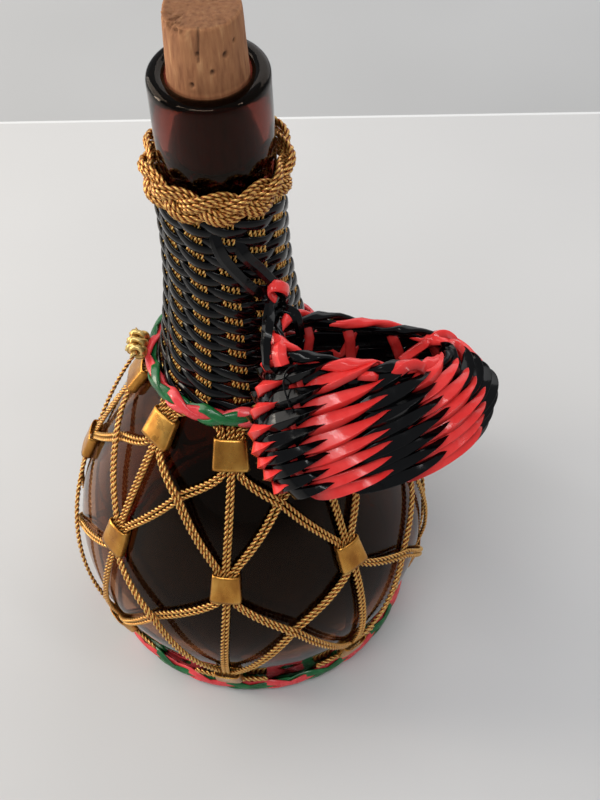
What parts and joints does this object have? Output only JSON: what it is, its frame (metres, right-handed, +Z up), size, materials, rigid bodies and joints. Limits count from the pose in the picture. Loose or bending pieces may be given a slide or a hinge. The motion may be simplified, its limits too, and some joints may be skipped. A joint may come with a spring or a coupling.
{
  "type": "cord-wrapped bottle",
  "caption": "Round amber glass bottle with a cork, dressed in a gold cord net held by folded brass clips, a wound black neck, plaited bands and a small hanging twined basket.",
  "frame": {"origin": "centre of the flat glass base that the bottle stands on", "axes": "+Z up along the bottle, -Y towards the front, +X to the right, the side where the basket hangs"},
  "size_m": [0.1338, 0.1222, 0.246],
  "materials": {
    "glass": "clear dark amber glass",
    "cork": "raw natural cork",
    "gold_cord": "twisted metallic gold cord",
    "brass": "thin polished sheet",
    "black_strip": "glossy flattened tube",
    "red_tube": "glossy flattened tube",
    "green_tube": "glossy flattened tube"
  },
  "bodies": {
    "bottle": {"glass_bottle": "glass", "neck_warp": "gold_cord", "neck_winding": "black_strip", "collar_plait": "gold_cord", "shoulder_plait_red": "red_tube", "shoulder_plait_green": "green_tube", "base_plait_red": "red_tube", "base_plait_green": "green_tube", "gold_knot": "gold_cord", "net_loop_a": "gold_cord", "net_loop_b": "gold_cord", "net_loop_c": "gold_cord", "net_loop_d": "gold_cord", "net_loop_e": "gold_cord", "net_loop_f": "gold_cord", "net_loop_g": "gold_cord", "net_loop_h": "gold_cord", "net_upright_a": "gold_cord", "net_upright_b": "gold_cord", "net_upright_c": "gold_cord", "net_upright_d": "gold_cord", "net_upright_e": "gold_cord", "net_upright_f": "gold_cord", "net_upright_g": "gold_cord", "net_upright_h": "gold_cord", "net_clip_1a": "brass", "net_clip_1b": "brass", "net_clip_1c": "brass", "net_clip_1d": "brass", "net_clip_1e": "brass", "net_clip_1f": "brass", "net_clip_1g": "brass", "net_clip_1h": "brass", "net_clip_2a": "brass", "net_clip_2b": "brass", "net_clip_2c": "brass", "net_clip_2d": "brass", "net_clip_2e": "brass", "net_clip_2f": "brass", "net_clip_2g": "brass", "net_clip_2h": "brass", "net_clip_3a": "brass", "net_clip_3b": "brass", "net_clip_3c": "brass", "net_clip_3d": "brass", "net_clip_3e": "brass", "net_clip_3f": "brass", "net_clip_3g": "brass", "net_clip_3h": "brass"},
    "stopper": {"cork_stopper": "cork"},
    "basket": {"basket_body": "red_tube", "basket_rim": "black_strip", "hanger_strap": "black_strip", "hanger_tie": "red_tube"}
  },
  "joints": [
    {"name": "cork_pull", "type": "slide", "parent": "bottle", "child": "stopper", "axis": [0, 0, 1], "range_m": [0, 0.03]},
    {"name": "basket_swing", "type": "hinge", "parent": "bottle", "child": "basket", "pos_m": [0.00256, -0.01822, 0.1902], "axis": [-0.6691, -0.7431, 0], "range_deg": [0, 50]}
  ]
}
